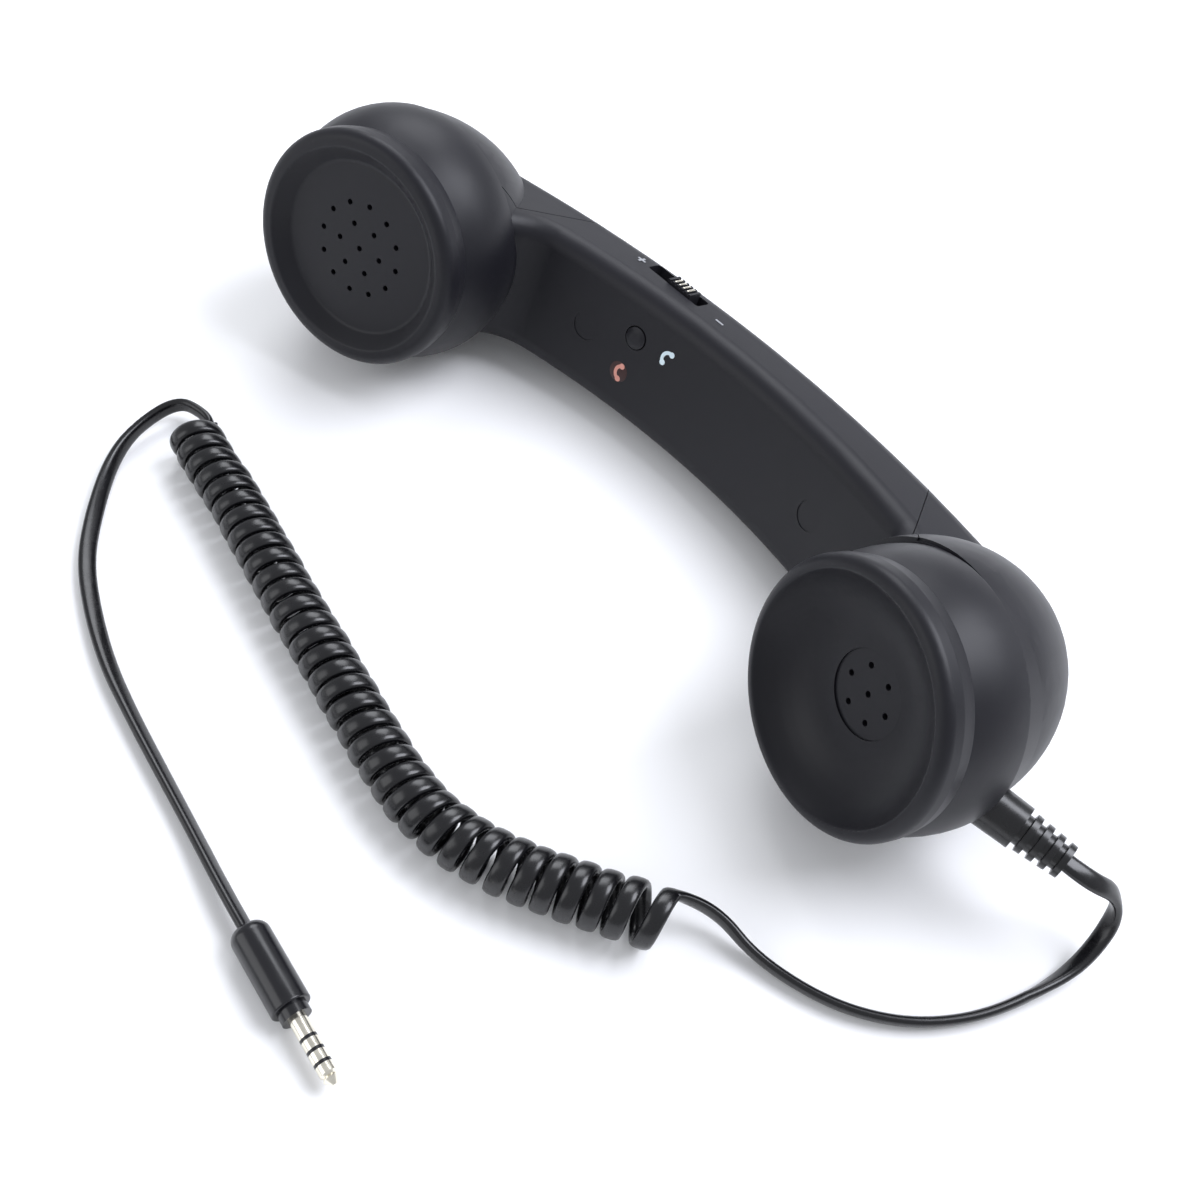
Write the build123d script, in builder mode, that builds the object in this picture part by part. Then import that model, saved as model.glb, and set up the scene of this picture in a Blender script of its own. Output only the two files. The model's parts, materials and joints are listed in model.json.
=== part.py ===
from build123d import *
import os
from math import cos, pi, radians, sin, sqrt, tan

# Retro telephone handset for a mobile phone: an arched two-shell handle with a round cup at
# each end, a call button, a volume slide, and a curly cord that ends in a 3.5 mm plug.
#
# Sizes are in millimetres. The handset is drawn in its own straight frame: X runs from the
# ear end to the mouth end, +Y is the side with the volume slide, and +Z is the way that the
# two faces look. save() then lays each piece down on its side, as the handset rests on a
# table at Z = 0. The cord and the plug are drawn where they lie on that table. Last of all,
# everything is moved so that the middle of the handset's footprint is the origin.

os.makedirs("parts", exist_ok=True)

# ---- Overall shape ----------------------------------------------------------------------
half_span = 80.4            # from the middle of the handset to the centre of each face
ear_tilt = 15.2             # each face leans in towards the other, degrees
mouth_tilt = 16.1
cap_radius = 28.1
wall = 2.2

handle_half_width = 17.3
inner_arch_depth = 43.0     # from the faces' level to the handle's inner face, at the middle
inner_arch_radius = 190.0
outer_arch_depth = 61.3
outer_arch_radius = 273.0
inner_edge_radius = 5.0
back_edge_radius = 6.0
handle_end = 87.0           # centre of each round end of the handle
ear_root = 61.5             # where the inner face turns up into the cups
mouth_root = 61.0
ear_sweep = 12.0
mouth_sweep = 4.0
skirt_top = -4.8            # height on each seat where the cap ends and the skirt begins
skirt_top_radius = 27.4
ear_skirt_radius = 30.2
mouth_skirt_radius = 28.6
ear_seam_depth = 22.0       # from each face's level back to the seam, along its axis
mouth_seam_depth = 18.2
seam_rise = 3.2             # from the handle's back up to the seam along its side
ear_dome_centre = 85.4      # the cups' backs are turned about upright axes here
mouth_dome_centre = 83.6
dome_shoulder = -18.0
dome_floor = -50.0
dome_floor_radius = 13.0
dome_belly_radius = 24.0

# ---- Clearances -------------------------------------------------------------------------
slide_gap = 0.3             # between a moving control and the hole that it moves in
running_gap = 0.1           # round the switch stem
seat_gap = 0.2              # round a cap's lip
seam_gap = 0.45             # shadow line between the two shells
seam_rebate = 0.8           # its depth

# ---- Caps -------------------------------------------------------------------------------
rim_height = 3.0            # rim above the level where the cap is widest
rim_rounding = 2.5
plate = 2.0
ear_floor = -0.4
ear_dish_radius = 20.6
ear_dish_edge = 24.2
mouth_floor = -5.4
mouth_disc_radius = 9.2
mouth_disc_step = 0.4
mouth_bowl_edge = 25.2
lip_depth = 3.5
lip_thickness = 1.6
sound_hole_radius = 0.7
ear_rings = ((6, 6.0), (12, 11.05))
mouth_rings = ((6, 5.9),)

# ---- Controls, along the handle's inner face and its +Y side ----------------------------
control_x = -24.7
button_spot = (0.0, 5.0)
button_radius = 2.75
button_proud = 0.7
button_travel = 0.6
answer_spot = (10.4, 5.3)
hang_up_spot = (0.1, -5.4)
icon_depth = 0.3
mark_depth = 0.3
inlay_proud = 0.1
plug_x = 38.1
plug_radius = 3.6
plug_thickness = 2.4
slot_x = -26.3
slot_z = -52.2
slot_length = 17.4
slot_width = 4.6
slot_corner = 0.8
knob_x = -24.5
knob_length = 7.6
knob_proud = 1.0
plus_x = -38.0
minus_x = -10.6
mark_z = -50.6

# ---- Inside -----------------------------------------------------------------------------
board_depth = 9.0           # below the inner face
board_thickness = 1.6
board_span = (-7.5, 20.0)   # along the control plane
board_sides = (-11.2, 10.4)
board_posts = ((-4.5, -8.2), (17.0, -8.2))
board_post_radius = 2.4
board_screw_radius = 1.0
board_screw_bite = 4.0
front_boss_radius = 5.0
front_boss_depth = 11.5
plug_well_depth = 6.0
back_boss_radius = 3.6
shell_screw_radius = 1.4
shell_screw_bite = 4.5

# ---- Cord, strain relief and plug -------------------------------------------------------
relief_root = (109.5, -8.0, -15.3)
relief_droop = 10.0
relief_neck_radius = 3.2
cord_width = 4.0
coil_diameter = 13.0
plug_back = (33.5, -109.4)
plug_heading = -6.0
barrel_radius = 4.0
barrel_length = 19.0
contact_radius = 1.75
contact_length = 14.5

# ---- How it lies on the table -----------------------------------------------------------
roll = 20.88                # the faces look this far above the horizontal, degrees
pitch = 0.31                # the ear end's rise along the handle, degrees
rest_height = 36.27         # the handset's own origin above the table


# ---- Frames and helpers -----------------------------------------------------------------
ear_seat = Plane(
    origin=(-half_span, 0, 0),
    x_dir=(cos(radians(ear_tilt)), 0, -sin(radians(ear_tilt))),
    z_dir=(sin(radians(ear_tilt)), 0, cos(radians(ear_tilt))),
)
mouth_seat = Plane(
    origin=(half_span, 0, 0),
    x_dir=(cos(radians(mouth_tilt)), 0, sin(radians(mouth_tilt))),
    z_dir=(-sin(radians(mouth_tilt)), 0, cos(radians(mouth_tilt))),
)
relief_plane = Plane(
    origin=relief_root,
    x_dir=(0, 1, 0),
    z_dir=(cos(radians(relief_droop)), 0, -sin(radians(relief_droop))),
)
plug_plane = Plane(
    origin=(plug_back[0], plug_back[1], barrel_radius),
    x_dir=(0, 0, 1),
    z_dir=(cos(radians(plug_heading)), sin(radians(plug_heading)), 0),
)


def arch_height(x, depth, radius):
    """Height at x of an arch whose top is at (0, -depth)."""
    return -depth + radius - sqrt(radius**2 - x**2)


def face_plane(x):
    """The plane that touches the handle's inner face at x, looking out of it."""
    slope = x / inner_arch_radius
    return Plane(
        origin=(x, 0, arch_height(x, inner_arch_depth, inner_arch_radius)),
        x_dir=(sqrt(1 - slope**2), 0, slope),
        z_dir=(-slope, 0, sqrt(1 - slope**2)),
    )


control_plane = face_plane(control_x)
screw_planes = (face_plane(-plug_x), face_plane(plug_x))
side_plane = Plane(origin=(0, handle_half_width, 0), x_dir=(1, 0, 0), z_dir=(0, 1, 0))

lying = Location((0, 0, rest_height), (90 - roll, 0, 0)) * Location((0, 0, 0), (0, pitch, 0))


def lay_down(point):
    """Where a point of the handset's own frame is once the handset lies on the table."""
    return (lying * Location(point)).position


handset_pieces = {}
cord_pieces = {}


def save(part, name, lies=True):
    """Keep one piece, laid down with the handset or left where it was drawn."""
    if lies:
        handset_pieces[name] = part.moved(lying)
    else:
        cord_pieces[name] = part


def turned(plane, outline, rounding=()):
    """A solid turned about a plane's normal from its (radius, height) outline.

    rounding lists (corner number, fillet radius) pairs.
    """
    profile = Plane(origin=plane.origin, x_dir=plane.x_dir, z_dir=-plane.y_dir)
    with BuildPart() as solid:
        with BuildSketch(profile):
            with BuildLine():
                Polyline(*outline, close=True)
            make_face()
            for corner, radius in rounding:
                fillet(vertices().sort_by_distance(outline[corner])[0], radius=radius)
        revolve(axis=Axis(plane.origin, plane.z_dir))
    return solid.part


def disc(plane, spot, radius, low, high):
    """A round disc or post on a plane, between two heights."""
    with BuildPart() as solid:
        with BuildSketch(plane.offset(low)):
            with Locations(spot):
                Circle(radius)
        extrude(amount=high - low)
    return solid.part


def ring(plane, spot, radius, bore, low, high):
    """A flat ring or tube on a plane, between two heights."""
    with BuildPart() as solid:
        with BuildSketch(plane.offset(low)):
            with Locations(spot):
                Circle(radius)
                Circle(bore, mode=Mode.SUBTRACT)
        extrude(amount=high - low)
    return solid.part


def block(plane, spot, length, width, low, high):
    """A rectangular block on a plane, between two heights."""
    with BuildPart() as solid:
        with BuildSketch(plane.offset(low)):
            with Locations(spot):
                Rectangle(length, width)
        extrude(amount=high - low)
    return solid.part


def screw(plane, spot, head_radius, shank_radius, seat, head_height, length):
    """A round-headed screw with a cross slot: its head sits on seat and its shank goes down."""
    with BuildPart() as solid:
        add(disc(plane, spot, head_radius, seat, seat + head_height))
        add(disc(plane, spot, shank_radius, seat - length, seat))
        with BuildSketch(plane.offset(seat + head_height)):
            with Locations(spot):
                Rectangle(1.3 * head_radius, 0.25 * head_radius)
                Rectangle(0.25 * head_radius, 1.3 * head_radius)
        extrude(amount=-0.5 * head_height, mode=Mode.SUBTRACT)
    return solid.part


# ---- The handset's outer form -----------------------------------------------------------
def bar_profile(half_width, inset):
    """The side view of the arched bar, drawn in by inset and extruded to both sides."""
    top = -20.0                    # hidden inside both cups
    far = handle_end + handle_half_width + 5
    far_corner = (far, arch_height(far, outer_arch_depth, outer_arch_radius))
    near_corner = (-far, far_corner[1])
    ear_corner = (-ear_root, arch_height(ear_root, inner_arch_depth, inner_arch_radius))
    mouth_corner = (mouth_root, arch_height(mouth_root, inner_arch_depth, inner_arch_radius))
    with BuildPart() as bar:
        with BuildSketch(Plane.XZ):
            with BuildLine():
                ThreePointArc(near_corner, (0, -outer_arch_depth), far_corner)
                Polyline(far_corner, (far, top), (mouth_root, top), mouth_corner)
                ThreePointArc(mouth_corner, (0, -inner_arch_depth), ear_corner)
                Polyline(ear_corner, (-ear_root, top), (-far, top), near_corner)
            make_face()
            for corner, sweep_radius in ((ear_corner, ear_sweep), (mouth_corner, mouth_sweep)):
                fillet(vertices().sort_by_distance(corner)[0], radius=sweep_radius)
            if inset:
                offset(amount=-inset)
        extrude(amount=half_width, both=True)
    return bar.part


def handle_bar(inset):
    """The arched bar with round ends, drawn in by inset all round."""
    half_width = handle_half_width - inset
    with BuildPart() as bar:
        add(bar_profile(half_width, inset))
        with BuildSketch(Plane.XY.offset(-outer_arch_depth)):
            SlotCenterToCenter(2 * handle_end, 2 * half_width)
        extrude(amount=outer_arch_depth, mode=Mode.INTERSECT)
        side_edges = edges().filter_by(lambda edge: abs(abs(edge.center().Y) - half_width) < 0.01)
        inner_edges = side_edges.filter_by(
            lambda edge: -45 < edge.center().Z < -21 and abs(edge.center().X) < ear_root + 1
        )
        fillet(inner_edges, radius=inner_edge_radius - inset)
        fillet(faces().sort_by(Axis.Z)[0].edges(), radius=back_edge_radius - inset)
    return bar.part


def cup(seat, dome_centre, seam_depth, skirt_radius, inset, rise):
    """One round cup: a skirt on the tilted seat and a back turned about an upright axis."""
    shoulder = (skirt_radius - 0.3 - inset, dome_shoulder)
    belly = (dome_belly_radius - inset, -37.5)
    floor = (dome_floor_radius - inset, dome_floor + inset)
    rim = (skirt_top_radius - inset, skirt_top)
    skirt = (skirt_radius + 0.1 - inset, 0.55 * skirt_top - 0.45 * seam_depth)
    foot = (skirt_radius - inset, -seam_depth)
    upright = Plane(origin=(dome_centre, 0, 0), x_dir=(1, 0, 0), z_dir=(0, -1, 0))
    with BuildPart() as solid:
        with BuildSketch(upright):
            with BuildLine():
                ThreePointArc(shoulder, belly, floor)
                Polyline(floor, (0, floor[1]), (0, 10), (shoulder[0], 10), shoulder)
            make_face()
        revolve(axis=Axis(upright.origin, (0, 0, 1)))
        split(bisect_by=seat.offset(-seam_depth), keep=Keep.BOTTOM)
        with BuildSketch(Plane(origin=seat.origin, x_dir=seat.x_dir, z_dir=(0, -1, 0))):
            with BuildLine():
                ThreePointArc(rim, skirt, foot)
                if rise:
                    opening = skirt_top + rise
                    Polyline(foot, (0, foot[1]), (0, opening), (rim[0], opening), rim)
                else:
                    Polyline(foot, (0, foot[1]), (0, skirt_top), rim)
            make_face()
        revolve(axis=Axis(seat.origin, seat.z_dir))
    return solid.part


def handset_body(inset=0.0, rise=0.0):
    """The handset without its caps, drawn in by inset; rise opens the tops of both cups."""
    with BuildPart() as body:
        add(handle_bar(inset))
        add(cup(ear_seat, -ear_dome_centre, ear_seam_depth, ear_skirt_radius, inset, rise))
        add(cup(mouth_seat, mouth_dome_centre, mouth_seam_depth, mouth_skirt_radius, inset, rise))
    return body.part


def below_seam(drop):
    """Everything behind the seam between the two shells, lowered by drop."""
    ear_knee = -68.0
    mouth_knee = 68.0
    bend = 54.0
    beyond = 130.0
    bottom = -90.0

    def ear_line(x):
        depth = ear_seam_depth + (x + half_span) * sin(radians(ear_tilt))
        return (x, -depth / cos(radians(ear_tilt)) - drop)

    def mouth_line(x):
        depth = mouth_seam_depth - (x - half_span) * sin(radians(mouth_tilt))
        return (x, -depth / cos(radians(mouth_tilt)) - drop)

    def along_back(x):
        return (x, arch_height(x, outer_arch_depth - seam_rise, outer_arch_radius) - drop)

    with BuildPart() as region:
        with BuildSketch(Plane.XZ):
            with BuildLine():
                Polyline(ear_line(-beyond), ear_line(ear_knee), along_back(-bend))
                ThreePointArc(along_back(-bend), along_back(0), along_back(bend))
                Polyline(along_back(bend), mouth_line(mouth_knee), mouth_line(beyond))
                Polyline(mouth_line(beyond), (beyond, bottom), (-beyond, bottom), ear_line(-beyond))
            make_face()
        extrude(amount=2 * cap_radius, both=True)
    return region.part


# ---- Icons and marks --------------------------------------------------------------------
def receiver_icon(spot, turn):
    """A small telephone receiver, let into the inner face and standing a little proud."""
    face = face_plane(control_x + spot[0])
    across = face.x_dir * cos(radians(turn)) + face.y_dir * sin(radians(turn))
    foot = face.from_local_coords(Vector(0, spot[1], -icon_depth))
    with BuildPart() as icon:
        with BuildSketch(Plane(origin=foot, x_dir=across, z_dir=face.z_dir)):
            Circle(2.35)
            Circle(1.45, mode=Mode.SUBTRACT)
            with Locations((0, 0.6)):
                Rectangle(6, 4, align=(Align.CENTER, Align.MIN), mode=Mode.INTERSECT)
            with Locations((1.75, 0.6), (-1.75, 0.6)):
                Circle(0.75)
        extrude(amount=icon_depth + inlay_proud)
    return icon.part


def sign_mark(x, crossed):
    """A plus or a minus, let into the side of the handle."""
    with BuildPart() as mark:
        with BuildSketch(side_plane.offset(-mark_depth)):
            with Locations(side_plane.to_local_coords(Vector(x, handle_half_width, mark_z))):
                Rectangle(2.4, 0.6)
                if crossed:
                    Rectangle(0.6, 2.4)
        extrude(amount=mark_depth + inlay_proud)
    return mark.part


icons = {
    "answer_icon": receiver_icon(answer_spot, 60),
    "hang_up_icon": receiver_icon(hang_up_spot, 90),
    "plus_mark": sign_mark(plus_x, True),
    "minus_mark": sign_mark(minus_x, False),
}
for name, icon in icons.items():
    save(icon, name)


# ---- The two shells ---------------------------------------------------------------------
outer_form = handset_body()
hollow = handset_body(wall, 12)
trim_form = handset_body(wall / 2)           # bosses stop inside the walls
behind_seam = below_seam(0)
seam_strip = (outer_form - handset_body(seam_rebate)) & (behind_seam - below_seam(seam_gap))


def slot_cutter():
    with BuildPart() as cutter:
        with BuildSketch(side_plane):
            with Locations(side_plane.to_local_coords(Vector(slot_x, handle_half_width, slot_z))):
                RectangleRounded(slot_length, slot_width, slot_corner)
        extrude(amount=2 * wall, both=True)
    return cutter.part


def make_front_shell():
    with BuildPart() as shell:
        add(outer_form)
        add(hollow, mode=Mode.SUBTRACT)
        for plane in screw_planes:
            add(disc(plane, (0, 0), front_boss_radius, -front_boss_depth, -wall / 2))
        for spot in board_posts:
            add(disc(control_plane, spot, board_post_radius, -board_depth, -wall / 2))
        add(behind_seam, mode=Mode.SUBTRACT)
        for plane in screw_planes:
            add(disc(plane, (0, 0), plug_radius, -plug_well_depth, 3), mode=Mode.SUBTRACT)
            add(disc(plane, (0, 0), shell_screw_radius + seat_gap, -13, 0), mode=Mode.SUBTRACT)
        for spot in board_posts:
            bottom = -board_depth - 1
            top = -board_depth + board_screw_bite
            add(disc(control_plane, spot, board_screw_radius, bottom, top), mode=Mode.SUBTRACT)
        hole_radius = button_radius + slide_gap
        add(disc(control_plane, button_spot, hole_radius, -2 * wall, 3), mode=Mode.SUBTRACT)
        add(slot_cutter(), mode=Mode.SUBTRACT)
        for icon in icons.values():
            add(icon, mode=Mode.SUBTRACT)
    return shell.part


def make_back_shell():
    with BuildPart() as shell:
        add(outer_form & behind_seam)
        add(hollow, mode=Mode.SUBTRACT)
        add(seam_strip, mode=Mode.SUBTRACT)
        for plane in screw_planes:
            boss = disc(plane, (0, 0), back_boss_radius, -25, -front_boss_depth)
            add(boss & trim_form)
            bite = -front_boss_depth - shell_screw_bite
            add(disc(plane, (0, 0), shell_screw_radius, bite, 0), mode=Mode.SUBTRACT)
        add(disc(relief_plane, (0, 0), relief_neck_radius, -15, 10), mode=Mode.SUBTRACT)
    return shell.part


front_shell = make_front_shell()
back_shell = make_back_shell()
save(front_shell, "front_shell")
save(back_shell, "back_shell")


# ---- Caps -------------------------------------------------------------------------------
lip_radius = skirt_top_radius - wall - seat_gap
lip_bore = lip_radius - lip_thickness
ear_under = ear_floor - plate
mouth_under = mouth_floor - plate


def sound_holes(seat, rings):
    """Round holes through a cap: one in the middle and the rest in rings."""
    with BuildPart() as holes:
        with BuildSketch(seat.offset(-15)):
            Circle(sound_hole_radius)
            for count, radius in rings:
                with PolarLocations(radius, count):
                    Circle(sound_hole_radius)
        extrude(amount=20)
    return holes.part


def make_ear_cap():
    outline = (
        (0, ear_floor),
        (ear_dish_radius, ear_floor),
        (ear_dish_edge, rim_height),
        (cap_radius, rim_height),
        (cap_radius, -1.6),
        (skirt_top_radius + 0.1, skirt_top),
        (lip_radius, skirt_top),
        (lip_radius, skirt_top - lip_depth),
        (lip_bore, skirt_top - lip_depth),
        (lip_bore, ear_under),
        (0, ear_under),
    )
    with BuildPart() as cap:
        add(turned(ear_seat, outline, ((1, 1.5), (2, 1.0), (3, rim_rounding), (4, 2.0))))
        for angle in retainer_angles:
            spot = (retainer_circle * cos(radians(angle)), retainer_circle * sin(radians(angle)))
            add(disc(ear_seat, spot, retainer_post_radius, frame_seat, ear_under))
            add(
                disc(ear_seat, spot, retainer_screw_radius, frame_seat, ear_under - 0.2),
                mode=Mode.SUBTRACT,
            )
        add(sound_holes(ear_seat, ear_rings), mode=Mode.SUBTRACT)
    return cap.part


def make_mouth_cap():
    bowl_start = (mouth_disc_radius, mouth_floor + mouth_disc_step)
    bowl_middle = (18.5, -3.3)
    bowl_end = (mouth_bowl_edge, rim_height)
    profile = Plane(origin=mouth_seat.origin, x_dir=mouth_seat.x_dir, z_dir=-mouth_seat.y_dir)
    with BuildPart() as cap:
        with BuildSketch(profile):
            with BuildLine():
                Polyline((0, mouth_floor), (mouth_disc_radius, mouth_floor), bowl_start)
                ThreePointArc(bowl_start, bowl_middle, bowl_end)
                Polyline(
                    bowl_end,
                    (cap_radius, rim_height),
                    (cap_radius, -1.6),
                    (skirt_top_radius + 0.1, skirt_top),
                    (lip_radius, skirt_top),
                    (lip_radius, skirt_top - lip_depth),
                    (lip_bore, skirt_top - lip_depth),
                    (lip_bore, -3.4),
                    (12.5, mouth_under),
                    (0, mouth_under),
                    (0, mouth_floor),
                )
            make_face()
            outer_corner = (cap_radius, rim_height)
            lower_corner = (cap_radius, -1.6)
            for corner, radius in ((outer_corner, rim_rounding), (lower_corner, 2.0), (bowl_end, 0.6)):
                fillet(vertices().sort_by_distance(corner)[0], radius=radius)
        revolve(axis=Axis(mouth_seat.origin, mouth_seat.z_dir))
        add(ring(mouth_seat, (0, 0), boot_radius + 1.4, boot_radius, mouth_under - 4, mouth_under + 0.5))
        add(sound_holes(mouth_seat, mouth_rings), mode=Mode.SUBTRACT)
    return cap.part


gasket_height = 1.2
frame_flange = 1.4
frame_top = ear_under - gasket_height
frame_seat = frame_top - frame_flange
retainer_circle = 20.8
retainer_angles = (30, 150, 270)
retainer_post_radius = 2.3
retainer_screw_radius = 0.9
retainer_thickness = 1.6
speaker_radius = 18.0
basket_radius = 14.0
magnet_radius = 9.0
boot_radius = 7.0
capsule_radius = 4.85
cloth_thickness = 0.3

ear_cap = make_ear_cap()
mouth_cap = make_mouth_cap()
save(ear_cap, "ear_cap")
save(mouth_cap, "mouth_cap")


# ---- Earpiece ---------------------------------------------------------------------------
def make_speaker_frame():
    basket_floor = frame_seat - 3.6
    outline = (
        (basket_radius - 0.4, frame_top),
        (speaker_radius, frame_top),
        (speaker_radius, frame_seat),
        (basket_radius, frame_seat),
        (magnet_radius + 0.5, basket_floor),
        (5.0, basket_floor),
        (5.0, basket_floor + 0.9),
        (magnet_radius, basket_floor + 0.9),
        (basket_radius - 1.2, frame_seat + 0.2),
        (basket_radius - 0.4, frame_seat + 0.2),
    )
    return turned(ear_seat, outline)


def make_speaker_cone():
    edge = basket_radius - 0.4
    rest = frame_seat + 0.2
    outline = (
        (0, rest - 0.4),
        (4.0, rest - 1.4),
        (edge - 2.4, rest),
        (edge, rest),
        (edge, rest + 0.4),
        (edge - 2.6, rest + 0.4),
        (4.0, rest - 0.9),
        (0, rest),
    )
    return turned(ear_seat, outline)


def make_magnet():
    top = frame_seat - 3.6
    return disc(ear_seat, (0, 0), magnet_radius, top - 3.4, top)


def make_ear_retainer():
    with BuildPart() as retainer:
        add(ring(ear_seat, (0, 0), lip_bore - seat_gap, basket_radius + 0.5, frame_seat - retainer_thickness, frame_seat))
        with BuildSketch(ear_seat.offset(frame_seat - 2)):
            with PolarLocations(retainer_circle, 3, start_angle=retainer_angles[0]):
                Circle(retainer_screw_radius)
        extrude(amount=4, mode=Mode.SUBTRACT)
    return retainer.part


def make_ear_screws():
    under = Plane(origin=ear_seat.origin, x_dir=ear_seat.x_dir, z_dir=-ear_seat.z_dir)
    seat = -frame_seat + retainer_thickness
    with BuildPart() as screws:
        for angle in retainer_angles:
            spot = (retainer_circle * cos(radians(angle)), -retainer_circle * sin(radians(angle)))
            add(screw(under, spot, 1.9, retainer_screw_radius, seat, 1.3, 3.6))
    return screws.part


save(disc(ear_seat, (0, 0), 13.0, ear_under - cloth_thickness, ear_under), "ear_cloth")
save(ring(ear_seat, (0, 0), speaker_radius - 0.2, 15.0, frame_top, ear_under), "ear_gasket")
save(make_speaker_frame(), "speaker_frame")
save(make_speaker_cone(), "speaker_cone")
save(make_magnet(), "speaker_magnet")
save(make_ear_retainer(), "ear_retainer")
save(make_ear_screws(), "ear_screws")


# ---- Microphone -------------------------------------------------------------------------
boot_top = mouth_under - cloth_thickness
boot_bottom = boot_top - 6.0
capsule_height = 4.7


def make_mic_boot():
    with BuildPart() as boot:
        add(disc(mouth_seat, (0, 0), boot_radius, boot_bottom, boot_top))
        add(disc(mouth_seat, (0, 0), capsule_radius, boot_top - capsule_height, boot_top), mode=Mode.SUBTRACT)
        add(disc(mouth_seat, (0, 0), lead_radius + running_gap, boot_bottom, boot_top), mode=Mode.SUBTRACT)
    return boot.part


lead_radius = 0.8
save(disc(mouth_seat, (0, 0), boot_radius, boot_top, mouth_under), "mic_cloth")
save(disc(mouth_seat, (0, 0), capsule_radius, boot_top - capsule_height, boot_top), "mic_capsule")
save(make_mic_boot(), "mic_boot")


# ---- Controls ---------------------------------------------------------------------------
switch_height = 3.4
switch_side = 6.0
stem_radius = 1.6
flange_top = -wall - running_gap
flange_bottom = flange_top - 1.0
stem_top = flange_bottom - 0.4


def make_call_button():
    face = button_proud - 0.3
    outline = (
        (0, button_proud),
        (button_radius * 0.6, button_proud - 0.08),
        (button_radius, face - 0.2),
        (button_radius, flange_top),
        (button_radius + 1.2, flange_top),
        (button_radius + 1.2, flange_bottom),
        (stem_radius, flange_bottom),
        (stem_radius, stem_top),
        (0, stem_top),
    )
    spot = control_plane.from_local_coords(Vector(button_spot[0], button_spot[1], 0))
    seat = Plane(origin=spot, x_dir=control_plane.x_dir, z_dir=control_plane.z_dir)
    return turned(seat, outline)


def make_switch_body():
    low = -board_depth
    with BuildPart() as body:
        add(block(control_plane, button_spot, switch_side, switch_side, low, low + switch_height))
        well = disc(control_plane, button_spot, stem_radius + running_gap, low + 0.6, low + switch_height)
        add(well, mode=Mode.SUBTRACT)
    return body.part


def make_switch_stem():
    bottom = -board_depth + 0.6 + button_travel + slide_gap
    return disc(control_plane, button_spot, stem_radius, bottom, stem_top)


def make_circuit_board():
    middle = ((board_span[0] + board_span[1]) / 2, (board_sides[0] + board_sides[1]) / 2)
    length = board_span[1] - board_span[0]
    width = board_sides[1] - board_sides[0]
    with BuildPart() as board:
        add(block(control_plane, middle, length, width, -board_depth - board_thickness, -board_depth))
        for spot in board_posts:
            hole = disc(control_plane, spot, board_screw_radius, -board_depth - 2, -board_depth + 1)
            add(hole, mode=Mode.SUBTRACT)
    return board.part


def make_board_screws():
    under = Plane(origin=control_plane.origin, x_dir=control_plane.x_dir, z_dir=-control_plane.z_dir)
    seat = board_depth + board_thickness
    length = board_thickness + board_screw_bite - seat_gap
    with BuildPart() as screws:
        for spot in board_posts:
            add(screw(under, (spot[0], -spot[1]), 1.9, board_screw_radius, seat, 1.2, length))
    return screws.part


pot_front = handle_half_width - wall - 0.9
pot_back = board_sides[1]
pot_length = 20.0
pot_height = 5.0
lever_side = 1.6
knob_width = slot_width - 2 * slide_gap
knob_back = handle_half_width - wall - 0.2
knob_front = handle_half_width + knob_proud
knob_travel = slot_length - knob_length - 2 * slide_gap


def side_block(x, length, width, back, front):
    """A block on the handle's +Y side at the slot's height, between two distances from Y = 0."""
    spot = side_plane.to_local_coords(Vector(x, handle_half_width, slot_z))
    return block(side_plane, (spot.X, spot.Y), length, width, back - handle_half_width, front - handle_half_width)


def make_slide_pot():
    opening = knob_travel + lever_side + 2 * slide_gap
    with BuildPart() as pot:
        add(side_block(slot_x, pot_length, pot_height, pot_back, pot_front))
        slit = side_block(slot_x, opening, lever_side + 2 * slide_gap, pot_back + 1.6, pot_front)
        add(slit, mode=Mode.SUBTRACT)
    return pot.part


def make_slide_lever():
    return side_block(knob_x, lever_side, lever_side, pot_back + 1.6 + slide_gap, knob_back + 1.6)


def make_volume_knob():
    with BuildPart() as knob:
        add(side_block(knob_x, knob_length, knob_width, knob_back, knob_front))
        add(side_block(knob_x, lever_side, lever_side, knob_back, knob_back + 1.6), mode=Mode.SUBTRACT)
        for step in range(-2, 3):
            groove = side_block(knob_x + 1.4 * step, 0.6, knob_width, knob_front - 0.5, knob_front)
            add(groove, mode=Mode.SUBTRACT)
    return knob.part


save(make_call_button(), "call_button")
save(make_switch_body(), "switch_body")
save(make_switch_stem(), "switch_stem")
save(make_circuit_board(), "circuit_board")
save(make_board_screws(), "board_screws")
save(make_slide_pot(), "slide_pot")
save(make_slide_lever(), "slide_lever")
save(make_volume_knob(), "volume_knob")


# ---- Shell screws and their covers ------------------------------------------------------
def make_shell_screws():
    seat = -plug_well_depth
    length = front_boss_depth - plug_well_depth + shell_screw_bite - seat_gap
    with BuildPart() as screws:
        for plane in screw_planes:
            add(screw(plane, (0, 0), 2.7, shell_screw_radius, seat, 1.8, length))
    return screws.part


save(make_shell_screws(), "shell_screws")
for plane, name in zip(screw_planes, ("screw_cover_ear_side", "screw_cover_mouth_side")):
    save(disc(plane, (0, 0), plug_radius, -plug_thickness, -0.15), name)


# ---- Balance weight in the mouth cup ----------------------------------------------------
weight_centre = (mouth_dome_centre, 0)
weight_radius = 13.0
weight_thickness = 6.0
weight_seat = -42.0
weight_post_radius = 9.0
weight_screw_spots = ((mouth_dome_centre - 6, 0), (mouth_dome_centre + 6, 0))
weight_screw_radius = 1.3


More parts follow.
